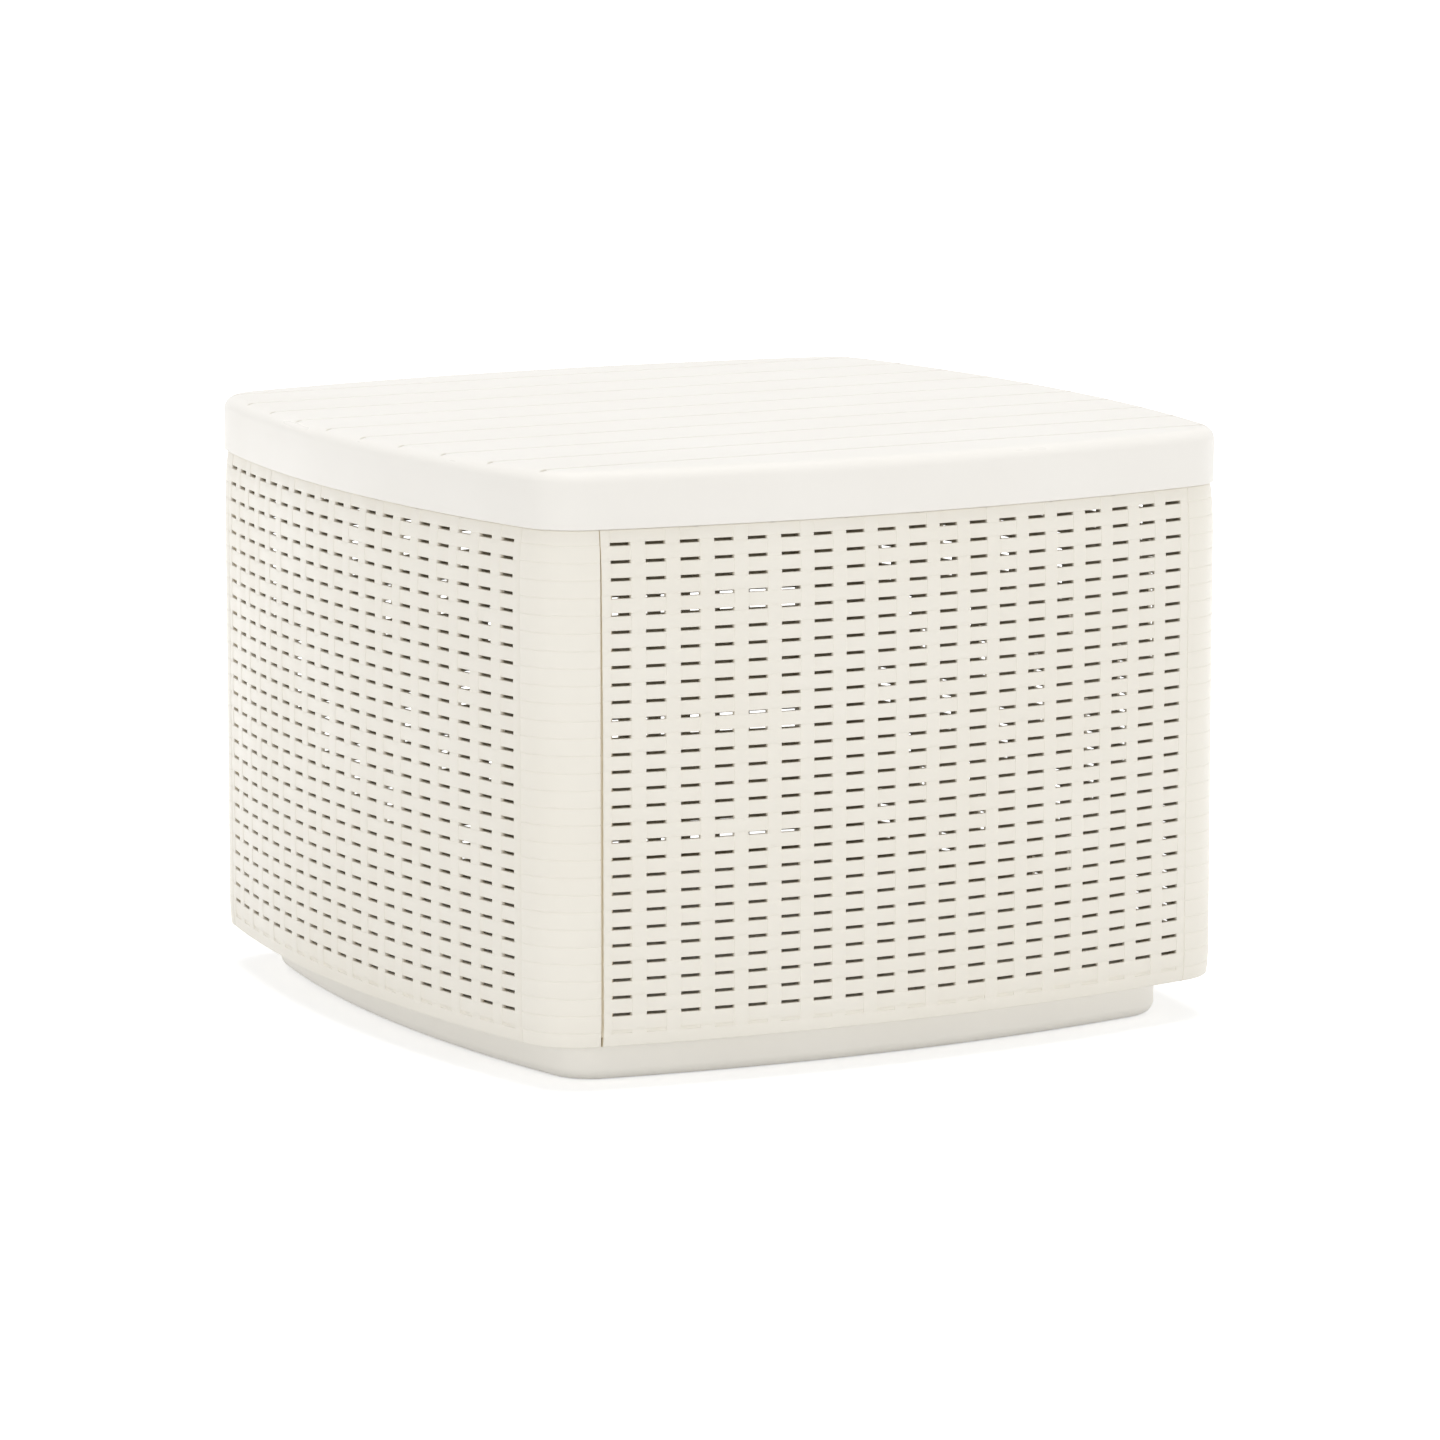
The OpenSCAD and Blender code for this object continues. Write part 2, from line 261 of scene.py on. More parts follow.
def moulding(name, shells, fields=None):
    """One mesh object from closed shells of points and faces. Points that no face uses are
    left out. A field is a value per point, kept as an attribute; an edge is sharp where its
    faces turn by more than sharp_angle."""
    sharp_angle = math.radians(35)
    points = np.concatenate([shell[0] for shell in shells])
    fields = {} if fields is None else fields
    blocks = []
    start = 0
    for shell_points, shell_faces in shells:
        blocks += [np.asarray(block) + start for block in shell_faces if len(block)]
        start += len(shell_points)
    corners = np.concatenate([block.ravel() for block in blocks])
    sizes = np.concatenate([np.full(len(block), block.shape[1]) for block in blocks])
    used, corners = np.unique(corners, return_inverse=True)
    mesh = bpy.data.meshes.new(name)
    mesh.vertices.add(len(used))
    mesh.vertices.foreach_set("co", points[used].astype(np.float32).ravel())
    mesh.loops.add(len(corners))
    mesh.loops.foreach_set("vertex_index", corners.astype(np.int32).ravel())
    mesh.polygons.add(len(sizes))
    mesh.polygons.foreach_set("loop_start", np.r_[0, np.cumsum(sizes)[:-1]].astype(np.int32))
    mesh.update(calc_edges=True)
    for field, values in fields.items():
        layer = mesh.attributes.new(field, "FLOAT", "POINT")
        layer.data.foreach_set("value", values[used].astype(np.float32))
    mesh.shade_smooth()
    mesh.set_sharp_from_angle(angle=sharp_angle)
    piece = bpy.data.objects.new(name, mesh)
    bpy.context.collection.objects.link(piece)
    return piece


def add_node(tree, kind, values=None, **settings):
    """A shader node with its settings and socket values."""
    node = tree.nodes.new(kind)
    for key, value in settings.items():
        setattr(node, key, value)
    for socket, value in (values or {}).items():
        node.inputs[socket].default_value = value
    return node


def skin_group():
    """The skin of a moulded piece, shared by all three finishes. Grain is fine noise, as a
    spark-worn mould leaves it. Cloud is broad noise, the slight unevenness of the plastic's flow.
    Colour goes from the crown colour towards a darker second colour with that stain and with the
    piece's painted shade value, which paints shade into hollows, and rubbed places are a little
    smoother."""
    stain_share = 0.16
    rough_range = 0.05
    rub_polish = 0.12
    group = bpy.data.node_groups.new("moulded_skin", "ShaderNodeTree")
    face = group.interface
    for name, kind in (
        ("Crown", "NodeSocketColor"),
        ("Stain_and_shade", "NodeSocketColor"),
        ("Grain Scale", "NodeSocketFloat"),
        ("Roughness", "NodeSocketFloat"),
        ("Painted_shade", "NodeSocketFloat"),
        ("Rub", "NodeSocketFloat"),
    ):
        face.new_socket(name, in_out="INPUT", socket_type=kind)
    for name, kind in (
        ("Color", "NodeSocketColor"),
        ("Roughness", "NodeSocketFloat"),
        ("Height", "NodeSocketFloat"),
    ):
        face.new_socket(name, in_out="OUTPUT", socket_type=kind)
    link = group.links.new
    came = group.nodes.new("NodeGroupInput")
    went = group.nodes.new("NodeGroupOutput")
    place = add_node(group, "ShaderNodeTexCoord")

    grain = add_node(group, "ShaderNodeTexNoise", {"Detail": 3.0, "Roughness": 0.6})
    link(place.outputs["Object"], grain.inputs["Vector"])
    link(came.outputs["Grain Scale"], grain.inputs["Scale"])
    link(grain.outputs["Fac"], went.inputs["Height"])

    cloud = add_node(group, "ShaderNodeTexNoise", {"Scale": 9.0, "Detail": 4.0})
    link(place.outputs["Object"], cloud.inputs["Vector"])
    stain = add_node(group, "ShaderNodeMath", {1: stain_share}, operation="MULTIPLY")
    link(cloud.outputs["Fac"], stain.inputs[0])
    # Mix factor: the real stain plus the piece's painted shade, clamped
    stain_and_shade = add_node(group, "ShaderNodeMath", operation="ADD", use_clamp=True)
    link(stain.outputs[0], stain_and_shade.inputs[0])
    link(came.outputs["Painted_shade"], stain_and_shade.inputs[1])
    colour = add_node(group, "ShaderNodeMix", data_type="RGBA")
    # The mix node's colour inputs are its sockets 6 and 7, and its colour output is number 2
    link(stain_and_shade.outputs[0], colour.inputs["Factor"])
    link(came.outputs["Crown"], colour.inputs[6])
    link(came.outputs["Stain_and_shade"], colour.inputs[7])
    link(colour.outputs[2], went.inputs["Color"])

    uneven = add_node(
        group, "ShaderNodeMapRange",
        {"From Min": 0.3, "From Max": 0.7, "To Min": -rough_range, "To Max": rough_range},
    )
    link(cloud.outputs["Fac"], uneven.inputs["Value"])
    rough = add_node(group, "ShaderNodeMath", operation="ADD")
    link(came.outputs["Roughness"], rough.inputs[0])
    link(uneven.outputs["Result"], rough.inputs[1])
    polish = add_node(group, "ShaderNodeMath", {1: -rub_polish}, operation="MULTIPLY")
    link(came.outputs["Rub"], polish.inputs[0])
    worn = add_node(group, "ShaderNodeMath", operation="ADD", use_clamp=True)
    link(rough.outputs[0], worn.inputs[0])
    link(polish.outputs[0], worn.inputs[1])
    link(worn.outputs[0], went.inputs["Roughness"])
    return group


moulded_skin = skin_group()


def plastic(name, crown, stain_and_shade, roughness, grain_scale, grain_depth):
    """A moulded plastic: the shared skin feeds colour, roughness and a fine bump. The piece's own
    attributes
    feed the skin, 0 where it has none: its painted shade, which darkens hollows, and its rub."""
    material = bpy.data.materials.new(name)
    material.use_nodes = True
    material.diffuse_color = crown
    tree = material.node_tree
    link = tree.links.new
    shader = tree.nodes["Principled BSDF"]
    shader.inputs["Specular IOR Level"].default_value = 0.42
    skin = tree.nodes.new("ShaderNodeGroup")
    skin.node_tree = moulded_skin
    skin.inputs["Crown"].default_value = crown
    skin.inputs["Stain_and_shade"].default_value = stain_and_shade
    skin.inputs["Grain Scale"].default_value = grain_scale
    skin.inputs["Roughness"].default_value = roughness
    # Painted shade and rub are read from the piece's attributes
    for field in ("painted_shade", "rub"):
        value = add_node(tree, "ShaderNodeAttribute", attribute_name=field)
        link(value.outputs["Fac"], skin.inputs[field.capitalize()])
    bump = add_node(tree, "ShaderNodeBump", {"Strength": 0.5, "Distance": grain_depth})
    link(skin.outputs["Height"], bump.inputs["Height"])
    link(skin.outputs["Color"], shader.inputs["Base Color"])
    link(skin.outputs["Roughness"], shader.inputs["Roughness"])
    link(bump.outputs["Normal"], shader.inputs["Normal"])
    return material


def finished(piece, material, body, slot, *nodes):
    """Gives a piece its material and body, and hides the nodes that it stands for. The slot is
    not used.
    """
    piece.data.materials.append(material)
    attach(piece, body)
    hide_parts(*nodes)


# Number of steps along each side and round each corner of the base's outlines
outline_steps = (60, 14)
plate_points, plate_normals = bowed_square(half_w, bow_r, corner_r, *outline_steps)
plate_outline = plate_points - plate_normals * plate_inset
round_steps = 32
circle = np.linspace(0, 2 * math.pi, round_steps, endpoint=False)
plate_holes = [
    np.column_stack([x + drain_d / 2 * np.cos(circle), y + drain_d / 2 * np.sin(circle)])
    for x in (-drain_at, drain_at)
    for y in (-drain_at, drain_at)
]
for place in clip_places:
    slot_x = clip_w / 2 + fit
    slot_y = clip_t / 2 + fit
    middle_y = -side_at(place, clip_in)
    clip_slot = np.array([
        [place - slot_x, middle_y - slot_y],
        [place + slot_x, middle_y - slot_y],
        [place + slot_x, middle_y + slot_y],
        [place - slot_x, middle_y + slot_y],
    ])
    plate_holes += [quarter_turned(clip_slot, q) for q in range(4)]

# Skirts and ribs reach this far into the plate that they stand on
sink = wall / 2
edge_angles = np.linspace(0, math.pi / 2, 11)
skirt_edge = [
    (plinth_edge * (1 - math.sin(a)), ground + plinth_edge * (1 - math.cos(a)))
    for a in edge_angles
]
inner_edge_r = plinth_edge - wall
skirt_inside = [
    (plinth_edge - inner_edge_r * math.sin(a), ground + plinth_edge - inner_edge_r * math.cos(a))
    for a in edge_angles[::-1]
]
plinth_profile = [
    (foot_w, ground),
    *skirt_edge,
    (0, floor_z + sink),
    (wall, floor_z + sink),
    *skirt_inside,
    (foot_w, ground + wall),
]
plinth_points, plinth_normals = bowed_square(
    plinth_half, plinth_bow, plinth_corner_r, *outline_steps
)


def plinth_reach(x):
    """How far a rib under the floor plate runs: to the middle of the plinth's wall."""
    return np.sqrt((plinth_bow - wall / 2) ** 2 - x ** 2) - bow_y


base = moulding("base_moulding", [
    drilled_plate(plate_outline, plate_holes, floor_z, floor_top),
    carried(plinth_profile, plinth_points, plinth_normals, True),
    rib_lattice(floor_z - base_rib_h, floor_z + sink, plinth_reach),
])
# The base has no painted shade: its second colour shows only in the stain.
base_plastic = plastic(
    "base_plastic", crown=(0.90, 0.875, 0.815, 1), stain_and_shade=(0.78, 0.74, 0.665, 1),
    roughness=0.46, grain_scale=1900.0, grain_depth=0.00012,
)
finished(base, base_plastic, "table", "base_plastic", "base")

# Walls: four equal bowed mouldings in a basket weave. Level strands pass over and under upright
# strips between rows of slots, and a post with a line at every row ends each wall at its right.
# Clips hold its foot to the base, and its left tongue stands in a channel in the next post.

wall_low, wall_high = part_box("front_wall")
wall_lift = wall_low.z
wall_top = wall_high.z
slot_w = 0.0126
slot_h = 0.002
column_pitch = 0.0221
row_pitch = 0.0108
columns = 19
rows = 28
top_margin = 0.009
row_top = wall_top - top_margin
roll_top = 0.0023
roll_top_h = 0.032
roll_foot_h = 0.018
edge_round = 0.0009
strand_rise = 0.00022
strand_crown = 0.00018
step_w = 0.00022
slot_round = 0.00028
blind_depth = 0.0006
post_line_depth = 0.0003
post_line_h = 0.0012
foot_line = 0.0045

# A seam's edge is three lines: where they lie and how deep, as shares of the edge's radius, and
# how far they move aside where the seam opens, as shares of its opening
seam_round = 0.0009
seam_places = np.array([0, 0.3, 1])
seam_depths = np.array([1, 0.3, 0])
seam_open = 0.0008
seam_shifts = np.array([1, 1, 0.5])
seam_fade_h = 0.12
seam_least = 0.1

level = strand_rise + strand_crown
plain_level = 0.0002
strip_half = (column_pitch - slot_w) / 2
band_half = (row_pitch - slot_h) / 2


def lean(z):
    """How far the wall's outside leans in at height z: a parabola over the top stretch plus
    one over the foot."""
    top = np.clip((z - (wall_top - roll_top_h)) / roll_top_h, 0, 1)
    foot = np.clip((wall_lift + roll_foot_h - z) / roll_foot_h, 0, 1)
    return roll_top * top ** 2 + roll_foot * foot ** 2


def field_lines():
    """Places across the woven field: for each upright strip its two edges, two lines close
    inside them and two on its crown, and three lines across each slot."""
    at = (np.arange(columns + 1) - columns / 2) * column_pitch
    on_strip = np.array([
        -strip_half, -strip_half + step_w, -strip_half / 3, strip_half / 3,
        strip_half - step_w, strip_half,
    ])
    on_slot = strip_half + slot_w * np.array([1, 2, 3]) / 4
    lines = (at[:, None] + np.r_[on_strip, on_slot]).ravel()
    left = -seam_x + fit / 2
    inside_field = (lines > left + 2 * seam_round) & (lines < seam_x - step_w)
    seam = left + seam_round * seam_places
    return np.concatenate([seam, lines[inside_field], [seam_x]])


field_x = field_lines()
post_first = math.asin(seam_out / corner_r)
post_last = math.pi / 2 - math.asin((seam_out + fit / 2) / corner_r)
post_round = seam_round / corner_r

# Upright lines of the post: two close to the woven field, an even row that begins at post_start
# from the field, and the rounded edge at the seam
post_step = 0.0004
post_start = 0.0015
post_columns = 24
post_a = np.r_[
    post_first + post_step / corner_r * np.array([1, 2]),
    np.linspace(post_first + post_start / corner_r, post_last - post_round, post_columns),
    post_last - post_round * seam_places[1::-1],
]

# Level lines of each row: five at the slots, or at the line round the post, and two on the back
# of the strand above
slot_offset = np.array([
    -slot_h / 2 - step_w, -slot_h / 2, 0, slot_h / 2, slot_h / 2 + step_w
])
crown_offset = slot_h / 2 + band_half * np.array([0.62, 1.35])
row_offset = np.r_[slot_offset, crown_offset]
post_offset = np.array([-0.72, -0.5, 0, 0.5, 0.72]) * post_line_h
row_z = row_top - np.arange(rows, -1, -1) * row_pitch
edge_turn = np.radians([0, 30, 60, 90])
foot_z = np.r_[wall_lift + edge_round * (1 - np.cos(edge_turn)), wall_lift + foot_line]
head_z = wall_top - edge_round * (1 - np.cos(edge_turn[::-1]))
woven_z = (row_z[:, None] + row_offset).ravel()
lined_z = (row_z[:, None] + np.r_[post_offset, crown_offset]).ravel()
field_z = np.r_[foot_z, woven_z, head_z]
post_z = np.r_[foot_z, lined_z, head_z]

z = np.column_stack([
    np.broadcast_to(field_z[:, None], (len(field_z), len(field_x))),
    np.broadcast_to(post_z[:, None], (len(post_z), len(post_a))),
])


def weave_height(x, z):
    """Height of the woven surface over its lowest level. A strand's height is strand_rise
    times cos(pi (c + i)), with c the running number of the strip and i of the strand; a
    strip's is the same negated, so one is up where the other is down. Both have a crown, a
    parabola across their width. The higher one shows where they cross."""
    strip = x / column_pitch + columns / 2
    strand = (row_top - row_pitch / 2 - z) / row_pitch
    off_strip = (strip - np.round(strip)) * column_pitch
    off_strand = (strand - np.round(strand)) * row_pitch
    strand_up = strand_rise * np.cos(np.pi * (strip + np.round(strand)))
    strand_up += strand_crown * (1 - (off_strand / band_half) ** 2)
    strip_up = -strand_rise * np.cos(np.pi * (np.round(strip) + strand))
    strip_up += strand_crown * (1 - (off_strip / strip_half) ** 2)
    tiny = 1e-6
    in_strip = np.abs(off_strip) < strip_half - tiny
    in_strand = np.abs(off_strand) < band_half - tiny
    both = np.maximum(strand_up, strip_up)
    edge = np.minimum(strand_up, strip_up)
    past_strip = np.abs(off_strip) > strip_half + tiny
    height = np.where(in_strand, np.where(in_strip, both, strand_up), strip_up)
    height = np.where(~in_strip & ~in_strand, edge - slot_round, height)
    height = np.where(past_strip & ~in_strand, strand_up - slot_round, height)
    blind = row_top - rows * row_pitch
    in_blind = past_strip & (np.abs(z - blind) < tiny) & (np.abs(x) < seam_x - strip_half)
    height = np.where(in_blind, strand_up - blind_depth, height)
    return np.where(z < blind - slot_h / 2 - tiny, plain_level, height)


def seam_fade():
    """How far the seam beside the post has opened at each height: from hardly at the head to
    fully from seam_fade_h below it."""
    return np.clip((wall_top - z[:, :1]) / seam_fade_h, seam_least, 1)


def wall_relief():
    """Inset of every grid point of the outside from the plain bowed wall: the lean, the round
    edges at foot, head and both ends, the weave, the fine line beside the post and the lines
    round the post. The rounding at the ends fades out towards the head."""
    field_columns = len(field_x)
    inset = lean(z)
    ends = edge_round * (1 - np.sin(edge_turn))
    inset[:len(ends)] += ends[:, None]
    inset[-len(ends):] += ends[::-1, None]
    woven = level - weave_height(field_x[None, :], field_z[:, None])
    inset[:, :field_columns] += np.clip(woven, 0, None)
    seam = seam_fade() * seam_round * seam_depths
    inset[:, :len(seam_depths)] += seam
    inset[:, field_columns - 1] = lean(field_z) + level
    inset[:, field_columns] += level
    inset[:, -2:] += seam[:, 1::-1]
    line = np.zeros(len(post_z))
    first = len(foot_z)
    line[first:first + len(woven_z)].reshape(-1, len(row_offset))[:, 1:4] = (
        post_line_depth * np.array([0.1, 1, 0.1])
    )
    inset[:, field_columns + 1:] += line[:, None]
    return inset


def wall_place(inset):
    """Points of the wall grid at the given insets: on the side arc at a fixed x in the field,
    on the corner arc at a fixed angle in the post."""
    field_columns = len(field_x)
    side_x = np.tile(field_x, (len(field_z), 1))
    side_x[:, :len(seam_shifts)] += seam_fade() * seam_open * seam_shifts
    side_y = -side_at(side_x, inset[:, :field_columns])
    radius = corner_r - inset[:, field_columns:]
    post_x = corner_k + radius * np.sin(post_a)
    post_y = -corner_k - radius * np.cos(post_a)
    return np.dstack([np.column_stack([side_x, post_x]), np.column_stack([side_y, post_y]), z])


def open_cells():
    """Which cells of the wall grid are slots: between two strips and in a row's height."""
    x = (field_x[1:] + field_x[:-1]) / 2
    height = (field_z[1:] + field_z[:-1]) / 2
    strip = x / column_pitch + columns / 2
    between = np.abs(strip - np.round(strip)) * column_pitch > strip_half
    between &= np.abs(x) < columns / 2 * column_pitch - strip_half
    row = (row_top - height) / row_pitch
    in_row = np.abs(row - np.round(row)) * row_pitch < slot_h / 2
    in_row &= np.abs(np.round(row) - (rows - 1) / 2) < rows / 2
    cells = np.zeros((len(field_z) - 1, z.shape[1] - 1), bool)
    cells[:, :len(x)] = in_row[:, None] & between[None, :]
    return cells


relief = wall_relief()
outside = wall_place(relief)
inner_face = wall_place(wall + lean(z))
weave_shell = sandwich(outside, inner_face, ~open_cells())

flange_w = 0.010
flange_in = roll_top + flange_w
ledge_w = 0.016
tongue_t = 0.0025
tongue_turn = math.radians(32)
tongue_root = 0.008
tongue_out = corner_r - roll_foot - wall - fit
tongue_in = tongue_out - tongue_t
channel_in = tongue_in - fit - wall
joint_z = floor_top + fit
joint_top = wall_top - roll_top_h
clip_nose = 0.0012
seam_turn = post_first
# The flange's top stays this far under the wall's own top edge
flange_drop = 0.0001
# Normals for a short straight path that lies along a front wall
to_front = np.array([[0, -1], [0, -1]])


def side_path(from_x, to_x, steps):
    """Points and normals along the side arc between two places across."""
    x = np.linspace(from_x, to_x, steps + 1)
    normals = np.column_stack([x, -np.sqrt(bow_r ** 2 - x ** 2)]) / bow_r
    return np.column_stack([x, -side_at(x, 0)]), normals


def corner_path(from_a, to_a, steps, side=1):
    """Points and normals along a corner arc, at angles from the front. The left corner's
    angles are negative."""
    a = np.linspace(from_a, to_a, steps + 1)
    normals = np.column_stack([np.sin(a), -np.cos(a)])
    return np.array([side * corner_k, -corner_k]) + corner_r * normals, normals


def wall_fittings():
    """Closed shells on the wall's inside: the flange that the lid stands on, the ledge at the
    foot, the tongue with its root, the channel in the post and the clips."""
    channel_last = post_last - 2 * seam_turn / 3
    channel_first = post_last - tongue_turn - 3 * seam_turn
    flange = upright_box_strip(roll_top + wall / 2, flange_in,
                               wall_top - wall, wall_top - flange_drop)
    ledge = upright_box_strip(wall / 2, wall + ledge_w, floor_top, floor_top + wall)
    channel = upright_box_strip(corner_r - channel_in - wall, corner_r - channel_in,
                                joint_z, joint_top)
    web = upright_box_strip(wall / 2, corner_r - channel_in, joint_z, joint_top)
    tongue = upright_box_strip(corner_r - tongue_out, corner_r - tongue_in, joint_z, joint_top)
    root_x = -seam_x + fit / 2
    shells = [
        carried(flange, *side_path(root_x, seam_x, steps=40), False),
        carried(flange, *corner_path(seam_turn, post_last, steps=16), False),
        carried(
            ledge, *side_path(root_x + tongue_root + fit, seam_x - tongue_root, steps=40), False
        ),
        carried(channel, *corner_path(channel_first, channel_last, steps=10), False),
        carried(web, *corner_path(channel_first, channel_first + seam_turn, steps=2), False),
        carried(
            tongue, *corner_path(-seam_turn - tongue_turn, seam_turn, steps=10, side=-1), False
        ),
        box_between(
            [root_x, -side_at(root_x, wall / 2), joint_z],
            [root_x + tongue_root, -corner_k - tongue_in, joint_top],
        ),
    ]
    clip_end = wall_lift + fit
    clip = np.array([
        [-clip_t / 2, floor_top + wall / 2],
        [-clip_t / 2, clip_end],
        [clip_t / 2, clip_end],
        [clip_t / 2 + clip_nose, floor_z - fit],
        [clip_t / 2, floor_z - fit],
        [clip_t / 2, floor_top + wall / 2],
    ])
    for place in clip_places:
        ends = np.array([[place - clip_w / 2, -side_at(place, clip_in)],
                         [place + clip_w / 2, -side_at(place, clip_in)]])
        shells.append(carried(clip[::-1], ends, to_front, False))
    return shells


# Its second colour is the warm brown of the painted shade in the weave, seams and inside, and of
# the real stain.
wall_plastic = plastic(
    "wall_plastic", crown=(0.83, 0.80, 0.73, 1), stain_and_shade=(0.66, 0.57, 0.40, 1),
    roughness=0.44, grain_scale=2100.0, grain_depth=0.00010,
)
fittings = wall_fittings()
wall_shells = [weave_shell, *fittings]

# Painted shade: the weave is painted a little darker with its depth, and the seams and the wall's
# inside darker still. Its raised places are rubbed smoother.
weave_shade = 0.05
crown_rub = 0.6
inside_shade = 0.6
sunk = relief - lean(z)
# Painted shade in the weave's hollows, and full painted shade on the seam edges at both ends
outer_painted_shade = np.clip(sunk / (level + slot_round), 0, 1) * weave_shade
outer_painted_shade[:, [0, -1]] = 1
outer_rub = crown_rub * (1 - np.clip(sunk / level, 0, 1))
inner_points = sunk.size + sum(len(shell[0]) for shell in fittings)
# The wall's inside and its fittings all get the inside's painted shade
wall_fields = {
    "painted_shade": np.r_[outer_painted_shade.ravel(), np.full(inner_points, inside_shade)],
    "rub": np.r_[outer_rub.ravel(), np.zeros(inner_points)],
}
for quarters, side in enumerate(("front", "right", "back", "left")):
    turned = [(quarter_turned(points, quarters), faces) for points, faces in wall_shells]
    panel = moulding(side + "_wall_moulding", turned, wall_fields)
    finished(panel, wall_plastic, "table", "wall_plastic", side + "_wall")

# Lid: a loose cover in a lighter white plastic, moulded as an upturned tray with a wide rolled
# edge. Shallow grooves divide its top into planks. Underneath, crossed ribs stiffen it, and
# locating ribs with gussets stand just inside the walls' flange, so that it can't slide off.

lid_z = wall_top + fit
lid_top = lid_high.z
lid_edge = 0.009
lid_round = 0.0008
plank_pitch = 0.050
groove_d = 0.0014
groove_r = 0.0022
grooves = 5
lid_rib_h = 0.009
locator_h = 0.008
locator_half = 0.160
locator_in = flange_in + 2 * fit
gusset_pitch = 0.050
flat_margin = 0.001
past_groove = 0.0007

groove_y = (np.arange(-grooves, grooves) + 0.5) * plank_pitch
groove_half = math.sqrt(groove_r ** 2 - (groove_r - groove_d) ** 2)
last_plank_y = groove_y[-1] + groove_half + past_groove


def plank_lines():
    """Places along the left and right edges: nine lines over each groove and four between
    neighbouring grooves, out to a line just past the last groove."""
    over_groove = groove_y[:, None] + groove_half * np.linspace(-1, 1, 9)
    gaps = groove_y[:-1, None] + plank_pitch * np.array([0.2, 0.4, 0.6, 0.8])
    return np.sort(np.r_[over_groove.ravel(), gaps.ravel(), -last_plank_y, last_plank_y])


plank_y = plank_lines()
lid_turn = math.asin(corner_k / (bow_r - corner_r))
front_steps = 48
corner_steps = 12


def lid_ring(inset):
    """The lid's outline at an inset, counterclockwise from the front left. Its front and back
    run along the arcs' own angles. Its right and left run over fixed places y, so that a
    groove's lines stay straight: x is on the side arc, or on the corner arc past its end.
    Each corner's angles go evenly from the front arc's end to the first such place."""
    side_r = bow_r - inset
    round_r = corner_r - inset
    a = np.linspace(-lid_turn, lid_turn, front_steps + 1)
    front = np.column_stack([side_r * np.sin(a), bow_y - side_r * np.cos(a)])
    meet = math.acos((last_plank_y - corner_k) / round_r)
    b = np.linspace(lid_turn, meet, corner_steps + 1)[1:-1]
    corner = np.column_stack([corner_k + round_r * np.sin(b), -corner_k - round_r * np.cos(b)])
    past = np.clip(np.abs(plank_y) - corner_k, 0, None)
    on_side = np.abs(plank_y) < side_r * math.sin(lid_turn)
    x = np.where(
        on_side,
        np.sqrt(side_r ** 2 - plank_y ** 2) - bow_y,
        corner_k + np.sqrt(round_r ** 2 - past ** 2),
    )
    planks = np.column_stack([x, plank_y])
    back_corner = corner[::-1] * [1, -1]
    half = np.concatenate([front, corner, planks, back_corner])
    return np.concatenate([half, -half])


def lid_shell():
    """The tray as one closed shell: rings from the underside down the inside, round the rim's
    foot, up the outside and over the rolled edge, then straight rows across the top from each
    place on the left edge to its like on the right. A groove takes off what rises over a
    round cutter that runs along X. Returns the shell with its painted shade and rub values: shade
    is painted into a groove's ends on the rolled edge, fully so from the depth groove_d /
    shade_gain, and the rolled edge is rubbed most half way round."""
    shade_gain = 3
    turn = np.linspace(0, math.pi / 2, 13)
    inside_turn = turn[::-2]
    inner_r = lid_edge - wall
    rings = [
        (lid_edge - inner_r * math.cos(a), lid_top - lid_edge + inner_r * math.sin(a))
        for a in inside_turn
    ]
    rings.append((wall, lid_z))
    foot = np.linspace(0, math.pi / 2, 5)
    rings += [
        (lid_round * (1 - math.sin(a)), lid_z + lid_round * (1 - math.cos(a))) for a in foot
    ]
    rings += [
        (lid_edge * (1 - math.cos(a)), lid_top - lid_edge + lid_edge * math.sin(a)) for a in turn
    ]
    rings.append((lid_edge + flat_margin, lid_top))
    outlines = [lid_ring(inset) for inset, _ in rings]
    heights = [np.full(len(outlines[0]), height) for _, height in rings]
    side_points = len(plank_y)
    count = len(outlines[0])
    right = front_steps + corner_steps + np.arange(side_points)
    left = (right + count // 2)[::-1]
    depth = np.zeros(count)
    off = np.abs(plank_y[:, None] - groove_y).min(axis=1)
    cut = np.where(
        off < groove_half,
        np.sqrt(np.clip(groove_r ** 2 - off ** 2, 0, None)) - (groove_r - groove_d),
        0,
    )
    depth[right] = cut
    depth[left] = cut
    full = np.array(heights)
    heights = np.minimum(full, lid_top - depth)
    outlines = np.array(outlines)
    points = np.dstack([outlines[:, :, 0].T, outlines[:, :, 1].T, heights.T]).reshape(-1, 3)
    last = len(rings) - 1
    number = np.arange(count) * len(rings)
    planks = np.column_stack([
        number[left[:-1]], number[right[:-1]], number[right[1:]], number[left[1:]]
    ]) + last
    front_cap = np.r_[number[left[0]:], number[:right[0] + 1]][None, :] + last
    back_cap = number[right[-1]:left[-1] + 1][None, :] + last
    under_cap = number[None, ::-1]
    faces = [grid_faces(count, len(rings), True, False), planks, front_cap, back_cap, under_cap]
    # Painted shade where a groove cuts the rolled edge, none on the flat top
    painted_shade = np.clip((full - heights).T / groove_d * shade_gain, 0, 1)
    painted_shade[:, -1] = 0
    rub = np.zeros((count, len(rings)))
    rub[:, -len(turn) - 1:-1] = np.sin(2 * turn)
    return (points, faces), painted_shade.ravel(), rub.ravel()


def lid_reach(x):
    """How far a rib under the lid runs: to the middle of the locating rib."""
    return side_at(x, locator_in + rib_t / 2)


